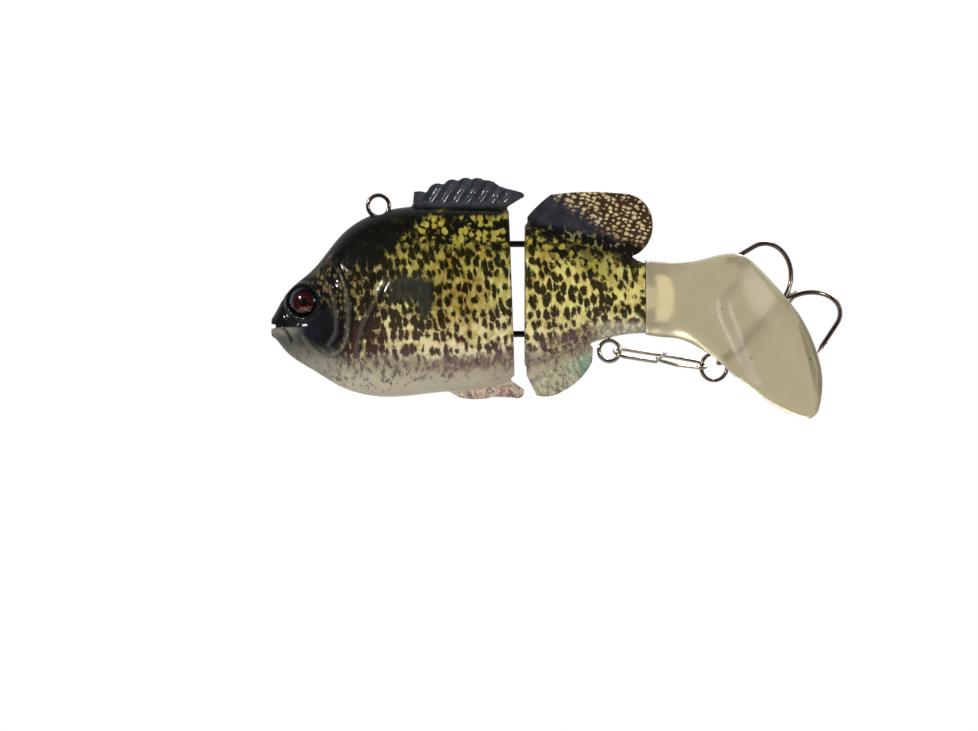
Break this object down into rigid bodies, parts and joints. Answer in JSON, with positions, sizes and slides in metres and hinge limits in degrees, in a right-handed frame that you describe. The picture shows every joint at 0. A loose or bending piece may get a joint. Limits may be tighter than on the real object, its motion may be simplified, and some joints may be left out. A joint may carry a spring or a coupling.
{
  "type": "jointed swimbait",
  "caption": "Jointed panfish-shaped swimbait with a hinged two-section hard body, soft paddle tail, wire line tie on the back and a treble hook hung from a snap and split ring.",
  "frame": {"origin": "centre of the line tie, the wire eye on the back", "axes": "+X from nose to tail, +Z from belly to back, so that the left flank faces -Y"},
  "size_m": [0.1438, 0.044, 0.0605],
  "materials": {
    "painted_resin": "clear-coated print of a panfish pattern over cast resin",
    "bare_resin": "cream cast resin",
    "soft_tail": "translucent milky soft plastic",
    "iris": "red foil disc with a black pupil",
    "eye_lens": "clear domed lens",
    "black_nickel": "black nickel",
    "bright_wire": "bright nickel wire",
    "pin_steel": "plain stainless wire",
    "ballast_lead": "as cast"
  },
  "bodies": {
    "front_section": {"front_body": "painted_resin", "line_tie": "black_nickel", "left_iris": "iris", "left_eye_lens": "eye_lens", "right_iris": "iris", "right_eye_lens": "eye_lens", "front_ballast": "ballast_lead", "upper_hinge_eye": "black_nickel", "lower_hinge_eye": "black_nickel"},
    "rear_section": {"rear_body": "painted_resin", "hinge_pin": "pin_steel", "hinge_pin_plug": "bare_resin", "rear_ballast": "ballast_lead", "belly_hook_eye": "bright_wire", "upper_tail_pin": "pin_steel", "lower_tail_pin": "pin_steel", "tail_root": "soft_tail"},
    "soft_tail": {"tail_paddle": "soft_tail"},
    "snap": {"hook_snap": "bright_wire"},
    "ring": {"split_ring": "black_nickel"},
    "hook": {"treble_hook": "black_nickel"}
  },
  "joints": [
    {"name": "body_hinge", "type": "hinge", "parent": "front_section", "child": "rear_section", "pos_m": [0.0397, 0, -0.0205], "axis": [0, 0, 1], "range_deg": [-20, 20]},
    {"name": "tail_flex", "type": "hinge", "parent": "rear_section", "child": "soft_tail", "pos_m": [0.0793, 0, -0.0229], "axis": [0, 0, 1], "range_deg": [-18, 7], "stiffness_Nm_per_rad": 0.004},
    {"name": "snap_swing", "type": "hinge", "parent": "rear_section", "child": "snap", "pos_m": [0.0577, 0, -0.03625], "axis": [0, 1, 0], "range_deg": [-6, 80]},
    {"name": "ring_swing", "type": "hinge", "parent": "snap", "child": "ring", "pos_m": [0.08021, 0.00593, -0.03965], "axis": [0.2289, -0.3468, 0.9096], "range_deg": [0, 30]},
    {"name": "treble_swing", "type": "hinge", "parent": "ring", "child": "hook", "pos_m": [0.0843, 0.00701, -0.04027], "axis": [-0.2492, 0.9677, 0.0377], "range_deg": [-8, 90]}
  ]
}
